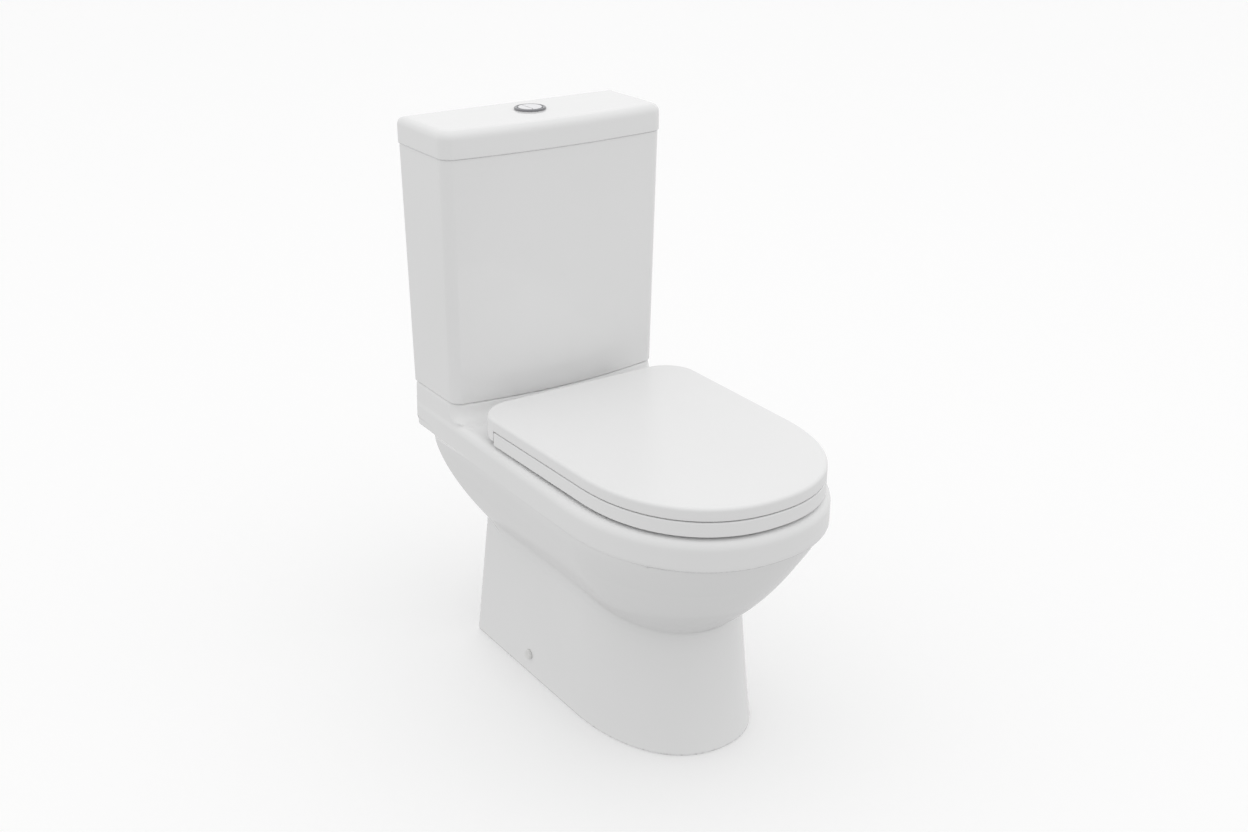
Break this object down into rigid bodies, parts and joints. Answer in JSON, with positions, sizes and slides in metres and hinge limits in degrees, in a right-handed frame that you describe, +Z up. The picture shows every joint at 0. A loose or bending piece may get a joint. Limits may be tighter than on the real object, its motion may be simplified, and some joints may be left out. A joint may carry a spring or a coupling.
{
  "type": "close coupled toilet",
  "caption": "Close coupled toilet with a skirted pedestal, D-shaped seat and lid on hidden hinges, tapered cistern and split push button.",
  "frame": {"origin": "on the floor, in the middle of the rectangle that holds the whole toilet", "axes": "+X to the right seen from in front, +Y to the wall, +Z up"},
  "size_m": [0.3578, 0.65, 0.8035],
  "materials": {
    "ceramic": "gloss white glaze",
    "seat_plastic": "gloss white moulding",
    "chrome": "polished chrome plate",
    "steel": "plain stainless",
    "brass": "plain brass",
    "rubber": "matt black",
    "foam_rubber": "open textured",
    "white_plastic": "plain moulding",
    "grey_plastic": "plain moulding"
  },
  "bodies": {
    "pan_body": {"pan": "ceramic", "cistern": "ceramic", "cistern_lid": "ceramic", "button_bezel": "chrome", "bezel_locknut": "white_plastic", "full_button_spring": "steel", "half_button_spring": "steel", "flush_valve_body": "white_plastic", "rocker_pin": "steel", "flush_valve_washer": "rubber", "flush_valve_backnut": "white_plastic", "coupling_seal": "foam_rubber", "fill_valve_body": "white_plastic", "fill_valve_cap": "grey_plastic", "lever_pin": "steel", "fill_valve_washer": "rubber", "fill_valve_backnut": "white_plastic", "coupling_bolts": "steel", "coupling_washers": "rubber", "coupling_steel_washers": "steel", "coupling_wing_nuts": "brass", "hinge_posts": "chrome", "hinge_studs": "steel", "hinge_pins": "steel", "hinge_gaskets": "rubber", "hinge_washers": "white_plastic", "hinge_wing_nuts": "white_plastic", "floor_brackets": "white_plastic", "side_screws": "steel", "screw_caps": "white_plastic"},
    "seat": {"seat_ring": "seat_plastic", "seat_buffers": "rubber"},
    "lid": {"seat_lid": "seat_plastic", "lid_buffers": "rubber"},
    "full_button": {"full_flush_button": "chrome"},
    "half_button": {"half_flush_button": "chrome"},
    "rocker": {"flush_rocker": "grey_plastic"},
    "valve": {"valve_tube": "grey_plastic", "valve_seal": "rubber"},
    "float": {"float_cup": "white_plastic", "float_rod": "white_plastic"},
    "float_lever": {"fill_valve_lever": "grey_plastic"}
  },
  "joints": [
    {"name": "seat_hinge", "type": "hinge", "parent": "pan_body", "child": "seat", "pos_m": [0, 0.133, 0.398], "axis": [1, 0, 0], "range_deg": [-92, 0]},
    {"name": "lid_hinge", "type": "hinge", "parent": "seat", "child": "lid", "pos_m": [0, 0.133, 0.398], "axis": [-1, 0, 0], "range_deg": [0, 92]},
    {"name": "full_flush_press", "type": "slide", "parent": "pan_body", "child": "full_button", "axis": [0, 0, -1], "range_m": [0, 0.006], "stiffness_N_per_m": 500, "springref_m": -0.004, "deforming": ["full_button_spring"]},
    {"name": "half_flush_press", "type": "slide", "parent": "pan_body", "child": "half_button", "axis": [0, 0, -1], "range_m": [0, 0.006], "stiffness_N_per_m": 400, "springref_m": -0.004, "deforming": ["half_button_spring"]},
    {"name": "rocker_turn", "type": "hinge", "parent": "pan_body", "child": "rocker", "pos_m": [0.038, 0.25, 0.706], "axis": [0, 1, 0], "range_deg": [0, 31.3]},
    {"name": "valve_lift", "type": "slide", "parent": "pan_body", "child": "valve", "axis": [0, 0, 1], "range_m": [0, 0.0124]},
    {"name": "float_rise", "type": "slide", "parent": "pan_body", "child": "float", "axis": [0, 0, 1], "range_m": [0, 0.012]},
    {"name": "lever_turn", "type": "hinge", "parent": "pan_body", "child": "float_lever", "pos_m": [-0.118, 0.27, 0.712], "axis": [0, -1, 0], "range_deg": [0, 19.7]}
  ],
  "couplings": [
    {"joint": "rocker_turn", "follows": "full_flush_press", "rad_per_m": 90.9},
    {"joint": "valve_lift", "follows": "full_flush_press", "ratio": 2.05},
    {"joint": "lever_turn", "follows": "float_rise", "rad_per_m": 28.57}
  ]
}
